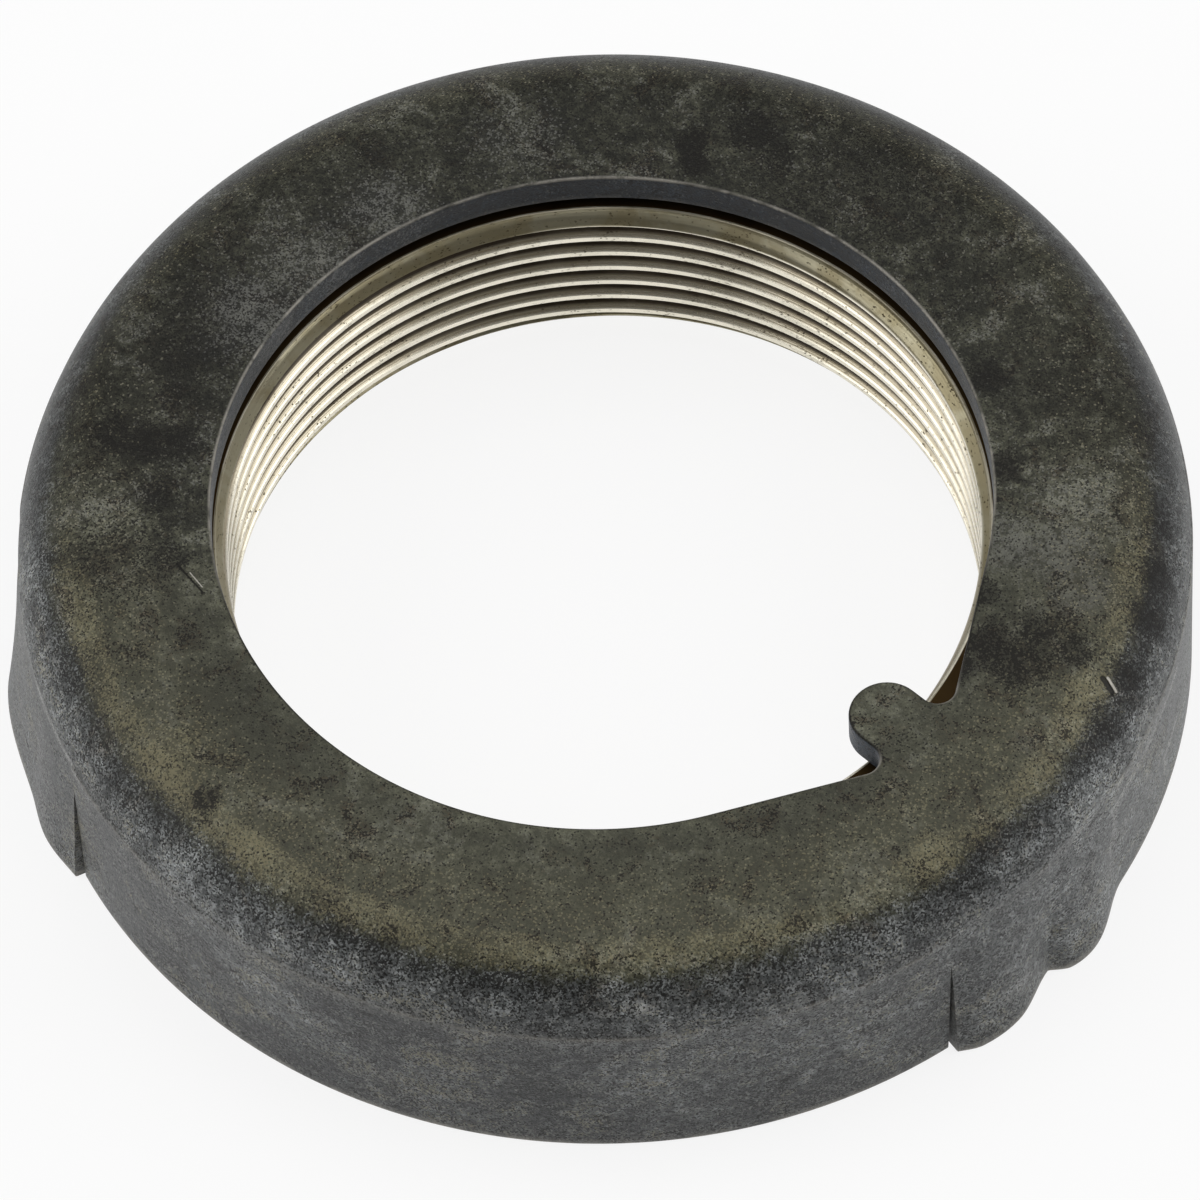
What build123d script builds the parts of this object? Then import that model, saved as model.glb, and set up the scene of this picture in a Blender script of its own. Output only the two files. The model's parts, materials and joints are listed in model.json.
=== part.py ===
from build123d import *
import os
from math import asin, cos, degrees, radians, sin

# Spindle nut: a drawn steel shell with a key tab, and a threaded nut that turns inside it.
# The origin is the centre of the thread. +Z runs along its axis to the bearing face of the
# shell, and +X points at the tab. Sizes are in millimetres and angles in degrees.

# Shell, drawn from sheet
sheet = 2.6
shell_radius = 42.1
shoulder_radius = 6.45
band_drop = 5.0  # from the bearing face down to the ledge where the sized band begins
rim_below_ring = 0.8

# Hole in the bearing face, with the tab for the spindle's keyway
spindle_clearance = 0.12
tab_reach = 3.15
tab_width = 5.4
relief_angle = 31.0  # where the hole leaves its circle on each side of the tab
tab_root_fillet = 1.3
pierced_edge_chamfer = 0.25

# Pushed-out lobes of the skirt, beside slits that open towards the rim
slit_height = 11.0
slit_width = 0.4
lobe_push = 1.4
torn_edge_push = 0.7
step_push = 1.15
wide_lobe_push = 1.6
wide_lobe_saddle = 1.2
station_pitch = 120.0

# Nut, for a 2 3/16 inch thread of 14 turns to the inch with flattened crests
thread_minor_radius = 27.0
thread_depth = 0.78
bore_chamfer_length = 1.3
nut_height = 13.8
nut_top_chamfer = 3.5
nut_bottom_chamfer = 0.6
nut_side_clearance = 0.35
nut_top_gap = 0.9

# Wrench slots in the nut's open face
slot_count = 4
slot_width = 9.0
slot_depth = 3.2
slot_land = 2.7  # between the thread and the slots

# Retaining ring under the nut
ring_width = 3.0
ring_thickness = 1.2
ring_opening = 8.0
groove_depth = 0.8
groove_clearance = 0.1
nut_end_float = 0.1

# Radii and levels that follow from them
thread_major_radius = thread_minor_radius + thread_depth
hole_radius = thread_major_radius + spindle_clearance
tab_tip = hole_radius - tab_reach
slot_inner_radius = thread_major_radius + slot_land
skirt_inner_radius = shell_radius - sheet
nut_radius = skirt_inner_radius - nut_side_clearance
nut_top = nut_height / 2
nut_bottom = -nut_height / 2
plate_bottom = nut_top + nut_top_gap
bearing_face = plate_bottom + sheet
ring_top = nut_bottom - nut_end_float
ring_bottom = ring_top - ring_thickness
rim = ring_bottom - rim_below_ring
groove_radius = skirt_inner_radius + groove_depth
ring_outer_radius = groove_radius - groove_clearance

# Lobes, as the angle round the axis and the push at each point of the rim. The first point is
# the torn edge, and at the last one the lobe runs back into the skirt.
slit_lobe = ((-11.7, torn_edge_push), (-9.4, lobe_push), (-4.8, lobe_push), (1.4, 0.0))
step_lobe = ((2.2, step_push), (6.3, lobe_push), (13.4, 0.0))
wide_lobe = (
    (9.3, torn_edge_push),
    (4.2, lobe_push),
    (-1.3, wide_lobe_saddle),
    (-13.5, wide_lobe_push),
    (-23.5, 0.0),
)
stations = (
    (0.0, (slit_lobe, step_lobe)),
    (station_pitch, (slit_lobe, step_lobe)),
    (-station_pitch, (wide_lobe,)),
)


def polar(radius, angle):
    """Point at a radius and an angle round the axis."""
    return (radius * cos(radians(angle)), radius * sin(radians(angle)))


def along_circle(angle, direction):
    """Unit vector along a circle about the axis, anticlockwise where direction is 1."""
    return (-direction * sin(radians(angle)), direction * cos(radians(angle)))


def turning_way(lobe):
    """1 for a lobe that runs anticlockwise from its torn edge, and -1 for a clockwise one."""
    return 1 if lobe[-1][0] > lobe[0][0] else -1


def pushed_curve(radius, lobe, turn):
    """Curve of the rim over a lobe, which ends along the circle that it runs back into."""
    points = [polar(radius + push, angle + turn) for angle, push in lobe]
    leaving = Vector(*points[1]) - Vector(*points[0])
    arriving = along_circle(lobe[-1][0] + turn, turning_way(lobe))
    return Spline(*points, tangents=(leaving.normalized(), arriving))


def plain_curve(radius, lobe, turn):
    """Arc of the unpushed skirt over the same angles."""
    first = lobe[0][0] + turn
    last = lobe[-1][0] + turn
    return ThreePointArc(polar(radius, first), polar(radius, (first + last) / 2), polar(radius, last))


def skirt_section(level, curve, lobe, turn):
    """Section of the skirt over a lobe, between its inner and outer curves."""
    with BuildSketch(Plane.XY.offset(level)) as section:
        with BuildLine():
            outer = curve(shell_radius, lobe, turn)
            inner = curve(skirt_inner_radius, lobe, turn)
            Line(outer @ 0, inner @ 0)
            Line(outer @ 1, inner @ 1)
        make_face()
    return section.sketch


# Shell
with BuildPart() as keyed_shell:
    shoulder_end = degrees(asin((shoulder_radius - band_drop) / shoulder_radius))
    inner_shoulder = shoulder_radius - sheet
    with BuildSketch(Plane.XZ):
        with BuildLine():
            flat = Line((tab_tip, bearing_face), (shell_radius - shoulder_radius, bearing_face))
            shoulder = CenterArc(
                (shell_radius - shoulder_radius, bearing_face - shoulder_radius),
                shoulder_radius,
                shoulder_end,
                90 - shoulder_end,
            )
            Polyline(
                shoulder @ 0,
                (shell_radius, bearing_face - band_drop),
                (shell_radius, rim),
                (skirt_inner_radius, rim),
                (skirt_inner_radius, plate_bottom - inner_shoulder),
            )
            RadiusArc(
                (skirt_inner_radius, plate_bottom - inner_shoulder),
                (skirt_inner_radius - inner_shoulder, plate_bottom),
                -inner_shoulder,
            )
            Polyline(
                (skirt_inner_radius - inner_shoulder, plate_bottom),
                (tab_tip, plate_bottom),
                flat @ 0,
            )
        make_face()
    revolve(axis=Axis.Z)

    # The hole: a circle that opens along two tangents to the root of the tab
    relief_corner = hole_radius / cos(radians(relief_angle))
    with BuildSketch(Plane.XY.offset(bearing_face)) as hole_outline:
        Circle(hole_radius)
        with BuildLine():
            Polyline(
                (0, 0),
                polar(hole_radius, relief_angle),
                (relief_corner, 0),
                polar(hole_radius, -relief_angle),
                close=True,
            )
        make_face()
        with Locations((tab_tip + tab_width / 2, 0)):
            Circle(tab_width / 2, mode=Mode.SUBTRACT)
            Rectangle(relief_corner - tab_tip, tab_width, align=(Align.MIN, Align.CENTER), mode=Mode.SUBTRACT)
        fillet(hole_outline.vertices().sort_by(Axis.X)[-2:], tab_root_fillet)
    extrude(amount=-sheet, mode=Mode.SUBTRACT)
    pierced_edge = keyed_shell.faces().sort_by(Axis.Z)[-1].inner_wires()[0].edges()
    chamfer(pierced_edge, pierced_edge_chamfer)

    # The lobes: the skirt is cut away over each one and put back bent outwards
    for station_angle, lobes in stations:
        for lobe in lobes:
            unbent = skirt_section(rim, plain_curve, lobe, station_angle)
            bent = skirt_section(rim, pushed_curve, lobe, station_angle)
            bend_line = skirt_section(rim + slit_height, plain_curve, lobe, station_angle)
            extrude(unbent, amount=slit_height, mode=Mode.SUBTRACT)
            loft([bent, bend_line], ruled=True)

    # A narrow V at the first torn edge of each station
    for station_angle, lobes in stations:
        first_lobe = lobes[0]
        torn_angle = first_lobe[0][0] + station_angle
        outward = (*polar(1, torn_angle), 0)
        with BuildSketch(Plane((0, 0, 0), x_dir=(*along_circle(torn_angle, 1), 0), z_dir=outward)):
            with BuildLine():
                Polyline(
                    (0, rim),
                    (-slit_width * turning_way(first_lobe), rim),
                    (0, rim + slit_height),
                    close=True,
                )
            make_face()
        extrude(amount=shell_radius + sheet, mode=Mode.SUBTRACT)

    # Groove for the retaining ring
    with BuildSketch(Plane.XZ):
        with Locations((0, ring_bottom)):
            Rectangle(groove_radius, ring_thickness + groove_clearance, align=Align.MIN)
    revolve(axis=Axis.Z, mode=Mode.SUBTRACT)

keyed_shell.part.label = "keyed_shell"


# Nut, bored to the thread's minor radius
with BuildPart() as threaded_nut:
    Cylinder(nut_radius, nut_height)
    Hole(thread_minor_radius)
    bore_wall, outer_wall = threaded_nut.faces().filter_by(GeomType.CYLINDER).sort_by(SortBy.AREA)
    outer_edges = outer_wall.edges().filter_by(GeomType.CIRCLE).sort_by(Axis.Z)
    bore_edges = bore_wall.edges().filter_by(GeomType.CIRCLE)
    chamfer(bore_edges, bore_chamfer_length, thread_depth, reference=bore_wall)
    chamfer(outer_edges[-1], nut_top_chamfer)
    chamfer(outer_edges[0], nut_bottom_chamfer)
    with BuildSketch(Plane.XY.offset(nut_bottom)):
        with PolarLocations(slot_inner_radius, slot_count):
            Rectangle(skirt_inner_radius - slot_inner_radius, slot_width, align=(Align.MIN, Align.CENTER))
    extrude(amount=slot_depth, mode=Mode.SUBTRACT)

threaded_nut.part.label = "threaded_nut"


# Retaining ring, open at the side away from the tab
with BuildPart() as retaining_ring:
    with BuildSketch(Plane.XY.offset(ring_bottom)):
        Circle(ring_outer_radius)
        Circle(ring_outer_radius - ring_width, mode=Mode.SUBTRACT)
        with Locations((ring_width / 2 - ring_outer_radius, 0)):
            Rectangle(2 * ring_width, ring_opening, mode=Mode.SUBTRACT)
    extrude(amount=ring_thickness)

retaining_ring.part.label = "retaining_ring"


os.makedirs("parts", exist_ok=True)
export_step(keyed_shell.part, "parts/keyed_shell.step")
export_step(threaded_nut.part, "parts/threaded_nut.step")
export_step(retaining_ring.part, "parts/retaining_ring.step")
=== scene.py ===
import json
from math import asin, cos, pi, radians, sin, sqrt, tan

import bmesh
import bpy
from mathutils import Matrix, Vector


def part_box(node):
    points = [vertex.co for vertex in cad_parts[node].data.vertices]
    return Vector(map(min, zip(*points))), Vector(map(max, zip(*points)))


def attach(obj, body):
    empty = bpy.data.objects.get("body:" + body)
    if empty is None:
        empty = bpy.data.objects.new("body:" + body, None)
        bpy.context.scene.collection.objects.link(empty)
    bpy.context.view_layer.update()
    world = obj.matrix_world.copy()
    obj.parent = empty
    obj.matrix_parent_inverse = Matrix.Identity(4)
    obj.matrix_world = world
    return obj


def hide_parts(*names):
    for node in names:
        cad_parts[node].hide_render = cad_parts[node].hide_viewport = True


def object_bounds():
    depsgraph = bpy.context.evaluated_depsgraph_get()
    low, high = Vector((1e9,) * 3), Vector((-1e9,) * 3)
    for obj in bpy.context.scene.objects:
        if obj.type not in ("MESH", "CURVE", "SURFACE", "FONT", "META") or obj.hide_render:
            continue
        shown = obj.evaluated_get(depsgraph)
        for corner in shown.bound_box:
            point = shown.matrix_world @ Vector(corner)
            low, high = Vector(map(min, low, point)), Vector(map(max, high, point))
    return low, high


# Spindle nut: the finish of its drawn shell, the thread of the nut that turns inside it, the
# snap ring under the nut, and a small white studio. Lengths are in metres.

bl_info = {
    "name": "Spindle nut",
    "version": (1, 0, 0),
    "blender": (4, 5, 0),
    "location": "View3D > Sidebar > Spindle nut",
    "description": "Finishes the shell, the threaded nut and the snap ring, and lights them",
    "category": "Object",
}

MM = 0.001
FLOOR_REACH = 4.0
SOFTBOX_DISTANCE = 0.62

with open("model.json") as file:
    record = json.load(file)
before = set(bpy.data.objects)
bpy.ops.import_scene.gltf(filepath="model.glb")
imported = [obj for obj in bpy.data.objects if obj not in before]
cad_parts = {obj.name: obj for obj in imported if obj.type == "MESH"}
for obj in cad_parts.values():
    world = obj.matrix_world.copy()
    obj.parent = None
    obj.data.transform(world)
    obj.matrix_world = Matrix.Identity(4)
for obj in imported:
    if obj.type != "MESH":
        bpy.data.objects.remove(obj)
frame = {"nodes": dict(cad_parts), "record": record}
CAD_LOW, CAD_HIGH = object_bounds()
NUT_LOW, NUT_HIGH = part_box("threaded_nut")
SHELL_LOW, SHELL_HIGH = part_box("keyed_shell")
BORE = next(mount["dims"] for mount in frame["record"]["mounts"] if mount["name"] == "spindle_thread")
BORE_RADIUS = BORE["r_mm"] * MM
BORE_CHAMFER = (NUT_HIGH.z - NUT_LOW.z - BORE["length_mm"] * MM) / 2

# Lobes of the skirt, as degrees from the tab and millimetres of push at the rim. A torn lobe starts
# at the lower end of a slit, and the others rise out of the skirt. A torn lobe bends freely from
# TEAR_REACH degrees past its slit. From LOBE_FULL millimetres of push on, the ledge over a lobe is
# taken in, and that fades out LEDGE_FADE below the ledge.
TEAR_REACH = 5.0
LOBE_FULL = 0.5
LEDGE_FADE = 4 * MM
SLIT_LOBE = ((-11.7, 0.7), (-9.4, 1.4), (-4.8, 1.4), (1.4, 0.0))
STEP_LOBE = ((0.8, 0.0), (2.7, 1.15), (6.3, 1.4), (13.4, 0.0))
WIDE_LOBE = ((9.3, 0.7), (4.2, 1.4), (-1.3, 1.2), (-13.5, 1.6), (-23.5, 0.0))
LOBES = (
    (0, SLIT_LOBE, True),
    (0, STEP_LOBE, False),
    (120, SLIT_LOBE, True),
    (120, STEP_LOBE, False),
    (-120, WIDE_LOBE, True),
)


def length(name, default, description):
    """A size, which is given in millimetres and kept in metres."""
    return bpy.props.FloatProperty(
        name=name, description=description, default=default * MM, subtype="DISTANCE", unit="LENGTH", precision=5,
    )


def degrees(name, default, description):
    """An angle, which is given in degrees and kept in radians."""
    return bpy.props.FloatProperty(
        name=name, description=description, default=radians(default), subtype="ANGLE", unit="ROTATION",
    )


def share(name, default, description, low=0.0, high=1.0):
    """A part of a whole."""
    return bpy.props.FloatProperty(
        name=name, description=description, default=default, min=low, max=high, subtype="FACTOR",
    )


def power(name, default, description):
    """A lamp's power in watts."""
    return bpy.props.FloatProperty(name=name, description=description, default=default, min=0, unit="POWER")


def count(name, default, low, high, description):
    """A whole number between two limits."""
    return bpy.props.IntProperty(name=name, description=description, default=default, min=low, max=high)


def colour(name, default, description):
    """A finish's colour, in linear light."""
    return bpy.props.FloatVectorProperty(
        name=name, description=description, default=default, subtype="COLOR", size=3, min=0.0, max=1.0,
    )


class ShellSizes(bpy.types.PropertyGroup):
    """Sizes of the drawn shell that the frame doesn't give."""

    sheet: length("Sheet", 2.6, "Thickness of the sheet that the shell is drawn from")
    radius: length("Skirt radius", 42.1, "Outside radius of the sized band round the skirt")
    shoulder: length("Shoulder", 6.45, "Outside radius of the drawn shoulder")
    band_drop: length("Band drop", 5.0, "From the bearing face down to the ledge of the band")
    hole_radius: length("Hole radius", 27.9, "Pierced hole in the bearing face")
    tab_reach: length("Tab reach", 3.15, "How far the tab stands into the hole")
    tab_width: length("Tab width", 5.4, "Width of the tab in the spindle's keyway")
    tab_root: length("Tab root", 1.3, "Fillet on each side of the tab")
    relief: degrees("Relief", 31, "Where the hole leaves its circle on each side of the tab")
    pierced_round: length("Pierced edge", 0.24, "Rolled edge that the piercing punch leaves")
    slit_height: length("Slit height", 11.0, "From the rim to the top of a slit")
    slit_width: length("Slit width", 0.4, "Opening of a slit at the rim")
    groove_depth: length("Groove depth", 0.8, "Groove for the snap ring, into the skirt")
    groove_clearance: length("Groove clearance", 0.1, "Height left over the snap ring")
    columns: count("Columns", 640, 90, 720, "Steps of the mesh round the shell")


class NutSizes(bpy.types.PropertyGroup):
    """Sizes of the threaded nut that the frame doesn't give."""

    pitch: length("Pitch", 25.4 / 14, "Advance of the thread in one turn, 14 to the inch")
    depth: length("Thread depth", 0.78, "From the crest of the thread to its root")
    crest_share: share("Crest", 0.235, "Share of the pitch that the flat crest takes", 0.05, 0.6)
    flank_share: share("Flank", 0.27, "Share of the pitch that each flank takes", 0.1, 0.45)
    thread_start: degrees("Thread start", -40, "Where the thread starts, as an angle from the tab")
    top_chamfer: length("Top chamfer", 3.5, "Outer corner beside the shell's shoulder")
    bottom_chamfer: length("Bottom chamfer", 0.6, "Outer corner of the open face")
    edge_break: length("Edge break", 0.15, "Radius left on the turned corners")
    slot_count: count("Wrench slots", 4, 0, 12, "Slots round the open face")
    slot_width: length("Slot width", 9.0, "Width of a wrench slot")
    slot_depth: length("Slot depth", 3.2, "Depth of a wrench slot below the open face")
    slot_land: length("Slot land", 2.7, "Width left between the thread and a slot")
    columns: count("Columns", 224, 24, 512, "Steps of the mesh round the bore")
    rows_per_turn: count("Rows per turn", 16, 8, 64, "Steps of the mesh across one pitch")


class Finishes(bpy.types.PropertyGroup):
    """Colours of the finished surfaces."""

    face_tone: colour("Bearing face", (0.052, 0.0525, 0.0365), "Phosphate on the bearing face")
    bend_tone: colour("Bend", (0.077, 0.081, 0.080), "Phosphate on the drawn bend, under its black clots")
    skirt_tone: colour("Skirt", (0.112, 0.117, 0.117), "Phosphate on the skirt, rubbed greyer")
    inside_tone: colour("Inside", (0.040, 0.041, 0.039), "Phosphate inside the shell")
    wall_tone: colour("Pierced wall", (0.034, 0.042, 0.054), "Sheared wall of the hole")
    # Chalk: also the colour of painted highlights on the skirt and the lobes
    chalk_and_highlight_tone: colour("Chalk", (0.40, 0.40, 0.38), "Pale dry residue of the phosphate bath")
    fleck_tone: colour("Fleck", (0.004, 0.003, 0.002), "Dark clots of phosphate and rust")
    rust_tone: colour("Rust", (0.040, 0.030, 0.018), "Thin brown rust under the phosphate")
    # Gilt: the colour of the painted highlight where the bend starts, and of some dust on the skirt
    gilt_highlight_and_dust_tone: colour("Gilt", (0.44, 0.39, 0.22), "Yellow sheen where the blank was burnished")
    bare_tone: colour("Bare edge", (0.38, 0.36, 0.32), "Steel that shows where an edge is rubbed")
    steel_tone: colour("Turned steel", (0.86, 0.81, 0.68), "Bright steel of the thread")
    straw_tone: colour("Straw tint", (0.30, 0.285, 0.195), "Warm tint that cutting oil leaves on steel")
    oil_tone: colour("Old oil", (0.22, 0.165, 0.075), "Brown film of oil on the thread's flanks")
    # Dirt: also the colour of the painted shade in the thread's root and in the gap under the shell
    dirt_and_shade_tone: colour("Dirt", (0.045, 0.028, 0.011), "Dirt in the root of the thread")
    spring_tone: colour("Spring steel", (0.12, 0.12, 0.125), "Dark tempered steel of the ring")


class Studio(bpy.types.PropertyGroup):
    """The camera, the softboxes and the floor."""

    azimuth: degrees("Azimuth", -44.3, "Camera's direction round the axis, from the tab")
    elevation: degrees("Elevation", 56.375, "Camera's height above the bearing face, as an angle")
    roll: degrees("Roll", -3.23, "Camera's turn about its line of sight")
    distance: length("Distance", 924.6, "From the camera to the middle of the bearing face")
    shift_right: length("Aim right", -0.521, "How far right of the axis the camera aims")
    shift_up: length("Aim up", -7.284, "How far above the axis the camera aims")
    lens: bpy.props.FloatProperty(
        name="Lens", description="Focal length on a 36 mm wide sensor",
        default=389.7, min=20, max=1200, unit="CAMERA",
    )
    side_light: power("Side softboxes", 1.5, "Power of each of the two softboxes beside the nut")
    top_light: power("Top softbox", 0.95, "Power of the softbox over the nut")
    wall_level: share("Back wall", 0.42, "Brightness of the wall behind the nut")
    front_level: share("Front wall", 0.15, "Brightness of the room behind the camera")
    floor_white: share("Floor's own white", 0.85, "Share of plain white in the floor that the camera sees")
    floor_tone: colour("Floor", (0.93, 0.93, 0.93), "Pale floor under the nut")


class Signal:
    """What comes out of a node, so that sums and products of it are written as such."""

    def __init__(self, wiring, socket):
        self.wiring = wiring
        self.socket = socket

    def __add__(self, other):
        return self.wiring.math("ADD", self, other)

    def __sub__(self, other):
        return self.wiring.math("SUBTRACT", self, other)

    def __rsub__(self, other):
        return self.wiring.math("SUBTRACT", other, self)

    def __mul__(self, other):
        return self.wiring.math("MULTIPLY", self, other)

    def __truediv__(self, other):
        return self.wiring.math("DIVIDE", self, other)


class Wiring:
    """Adds nodes to a shader or geometry tree, and feeds their inputs with values or with signals."""

    def __init__(self, tree):
        self.tree = tree

    def feed(self, socket, value):
        if isinstance(value, Signal):
            self.tree.links.new(value.socket, socket)
        else:
            socket.default_value = value

    def node(self, kind, inputs=None, **settings):
        made = self.tree.nodes.new(kind)
        for name, value in settings.items():
            setattr(made, name, value)
        for key, value in (inputs or {}).items():
            self.feed(made.inputs[key], value)
        return made

    def out(self, kind, inputs=None, key=0, **settings):
        """Makes a node, and gives one of its outputs."""
        return Signal(self, self.node(kind, inputs, **settings).outputs[key])

    def parts(self, kind, inputs):
        """Makes a node, and gives all its outputs in order."""
        return [Signal(self, socket) for socket in self.node(kind, inputs).outputs]

    def math(self, operation, *values, clamp=False):
        return self.out("ShaderNodeMath", dict(enumerate(values)), operation=operation, use_clamp=clamp)

    def larger(self, first, second):
        return self.math("MAXIMUM", first, second)

    def smaller(self, first, second):
        return self.math("MINIMUM", first, second)

    def ramp(self, value, low, high, to_low=0.0, to_high=1.0, smooth=True):
        """Runs from to_low at low to to_high at high, and stays there past both."""
        return self.out(
            "ShaderNodeMapRange",
            {"Value": value, "From Min": low, "From Max": high, "To Min": to_low, "To Max": to_high},
            "Result", interpolation_type="SMOOTHSTEP" if smooth else "LINEAR", clamp=True,
        )

    def vector(self, x, y, z):
        return self.out("ShaderNodeCombineXYZ", {"X": x, "Y": y, "Z": z})

    def between(self, operation, first, second, key=0):
        """One output of a sum, difference, distance or product of two vectors."""
        return self.out("ShaderNodeVectorMath", {0: first, 1: second}, key, operation=operation)

    def mix(self, amount, first, second, blend="MIX"):
        """Blends two colours."""
        return self.out(
            "ShaderNodeMix", {0: amount, 6: with_alpha(first), 7: with_alpha(second)}, 2,
            data_type="RGBA", blend_type=blend,
        )

    def noise(self, vector, scale, detail, roughness, distortion=0.0):
        return self.out("ShaderNodeTexNoise", {
            "Vector": vector, "Scale": scale, "Detail": detail, "Roughness": roughness, "Distortion": distortion,
        }, "Fac")

    def grains(self, vector, scale):
        """Cells of a size, as three random draws for each and the distance from its middle."""
        cells = self.node("ShaderNodeTexVoronoi", {"Vector": vector, "Scale": scale}, feature="F1").outputs
        draws = self.parts("ShaderNodeSeparateColor", {"Color": Signal(self, cells["Color"])})
        return (*draws, Signal(self, cells["Distance"]))


def with_alpha(value):
    """A colour of three numbers gets the alpha that a colour socket needs."""
    return value if isinstance(value, Signal) else (*value, 1.0)


def new_material(name):
    """An empty node material with its output and its main shader."""
    material = bpy.data.materials.new(name)
    material.use_nodes = True
    material.node_tree.nodes.clear()
    w = Wiring(material.node_tree)
    shader = w.node("ShaderNodeBsdfPrincipled")
    w.node("ShaderNodeOutputMaterial", {"Surface": Signal(w, shader.outputs["BSDF"])})
    return material, w, shader


def dress(w, shader, tone, metallic, roughness, height, depth, strength):
    """Feeds a finish to its shader, with relief from a height between 0 and 1."""
    relief = w.out("ShaderNodeBump", {"Height": height, "Distance": depth, "Strength": strength}, "Normal")
    for key, value in (
        ("Base Color", tone), ("Metallic", metallic), ("Roughness", roughness), ("Normal", relief),
    ):
        w.feed(shader.inputs[key], value)


class Round:
    """The position on a piece as radius, angle and height about the nut's axis."""

    def __init__(self, w):
        self.position = w.out("ShaderNodeTexCoord", key="Object")
        self.x, self.y, self.height = w.parts("ShaderNodeSeparateXYZ", {"Vector": self.position})
        self.radius = w.out(
            "ShaderNodeVectorMath", {0: w.vector(self.x, self.y, 0.0)}, "Value", operation="LENGTH",
        )
        self.angle = w.math("ARCTAN2", self.y, self.x)


# Marks left by handling, as a place and a radius in millimetres, and how thick they lie, except the painted
# highlights noted below
DARK_MARKS = (
    ((-15.0, 26.0, 10.4), 1.5, 1.0), ((-16.3, 27.2, 10.4), 1.5, 1.0), ((-13.4, 30.8, 10.4), 2.4, 0.7),
    ((-10.6, 30.2, 10.4), 2.0, 0.7), ((19.7, 21.1, 10.4), 1.8, 1.0), ((13.4, 26.0, 10.4), 1.6, 0.9),
    ((28.6, 6.6, 10.4), 2.0, 1.0), ((29.0, 9.0, 10.4), 2.6, 1.0), ((31.6, 9.8, 10.4), 3.0, 1.0),
    ((30.8, 12.3, 10.4), 2.6, 1.0), ((33.6, 12.6, 10.3), 2.3, 1.0), ((25.6, 12.2, 10.4), 1.6, 0.8),
    ((-25.6, -16.6, 10.4), 2.1, 1.0), ((-27.7, -18.0, 10.4), 2.1, 1.0), ((-29.8, -19.3, 10.4), 2.1, 1.0),
    ((-24.0, -21.2, 10.4), 1.9, 0.9), ((-19.4, -24.1, 10.4), 1.6, 0.8), ((-32.0, -9.0, 10.4), 5.0, 0.4),
    ((-22.0, -27.0, 10.4), 5.0, 0.4), ((-4.0, 33.0, 10.4), 8.0, 0.3), ((-3.4, -37.2, 10.2), 1.2, 1.0),
    ((38.7, 10.4, 8.67), 1.9, 0.9), ((37.3, 14.6, 8.67), 2.0, 1.0), ((35.4, 18.8, 8.67), 2.0, 1.0),
    ((33.2, 22.4, 8.67), 1.9, 1.0), ((30.8, 25.6, 8.67), 1.7, 0.8),
)
# The last pale mark, on the shoulder, is a painted highlight
PALE_MARKS = (
    ((24.4, 16.4, 10.4), 3.2, 1.0), ((27.2, 18.6, 10.4), 3.8, 1.0), ((25.6, 22.4, 10.4), 4.2, 0.8),
    ((30.6, 16.8, 10.4), 3.0, 0.9), ((-29.2, 1.0, 10.4), 4.4, 1.0), ((-29.4, -5.2, 10.4), 4.4, 1.0),
    ((-28.6, 8.0, 10.4), 3.6, 0.8), ((-26.0, 19.0, 10.4), 4.0, 0.4), ((36.3, 5.0, 10.3), 1.4, 0.6),
)
# Painted highlights where the shoulder catches the light, given in the same way
HIGHLIGHT_MARKS = (
    ((37.7, -6.5, 9.86), 2.0, 0.9), ((38.7, 3.9, 9.6), 1.8, 0.8), ((37.2, 11.2, 9.6), 2.4, 0.5),
    ((38.0, 8.6, 9.6), 1.8, 0.4), ((-8.0, -36.3, 10.2), 3.4, 0.6), ((2.0, -38.2, 9.9), 2.0, 0.6),
)
CHALK_AND_HIGHLIGHT_MARKS = (
    ((29.8, -28.2, 7.4), 1.3, 0.8), ((37.0, -19.5, 5.8), 1.0, 0.6), ((34.4, -24.2, -1.3), 0.8, 0.4),
    ((39.6, -14.3, 1.0), 1.5, 0.7), ((32.6, -26.6, -5.1), 1.2, 0.4), ((28.2, -29.9, 7.2), 0.9, 0.6),
    ((-18.3, -36.6, 7.7), 0.4, 1.0), ((-31.0, 28.0, 1.5), 1.8, 0.5), ((-41.5, 4.0, -3.0), 1.6, 0.6),
    # The last four chalk marks, on and above the lobes beside the tab, are painted highlights
    ((8.0, 41.2, -1.0), 1.9, 0.5), ((41.0, 9.6, -2.0), 2.6, 0.45), ((42.6, -3.5, -5.5), 2.4, 0.4),
    ((39.6, 14.6, 6.0), 2.4, 0.45), ((42.4, 5.0, -4.0), 2.2, 0.4),
)
# Cuts and the bright burrs beside them, as the two ends and the width in millimetres
CUTS = (
    ((36.50, 12.66, 9.68), (37.50, 12.48, 9.07), 0.25), ((-18.6, -24.3, 10.4), (-15.6, -24.8, 10.4), 0.08),
)
BURRS = (
    ((36.68, 13.0, 9.52), (37.64, 12.82, 8.94), 0.15), ((-17.4, -24.2, 10.4), (-15.9, -24.5, 10.4), 0.06),
)
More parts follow.
